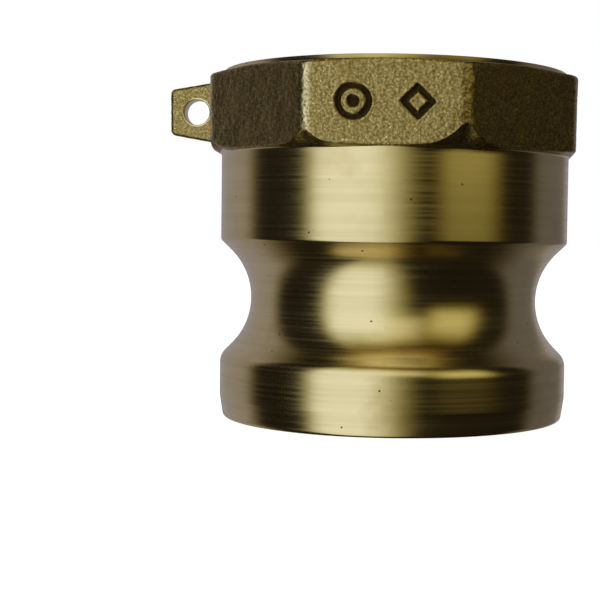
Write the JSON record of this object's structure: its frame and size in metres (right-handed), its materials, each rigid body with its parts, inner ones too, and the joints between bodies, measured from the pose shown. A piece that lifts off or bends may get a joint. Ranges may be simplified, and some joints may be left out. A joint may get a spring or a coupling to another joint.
{
  "type": "camlock adapter",
  "caption": "Cast and turned brass camlock adapter: grooved male cam end below, octagonal collar with a female pipe thread and a chain lug above, flat seal ring in the socket.",
  "frame": {"origin": "centre of the male end's face, on the axis of the pipe", "axes": "+Z along the pipe from the male cam end to the female thread, -X towards the chain lug, -Y out of the marked front flat"},
  "size_m": [0.0733, 0.064, 0.062],
  "materials": {
    "brass": "sand-cast collar and lug, satin turned male end and socket",
    "seal_rubber": "matte black moulded rubber"
  },
  "bodies": {
    "root": {"adapter_body": "brass", "thread_seal": "seal_rubber"}
  },
  "joints": []
}
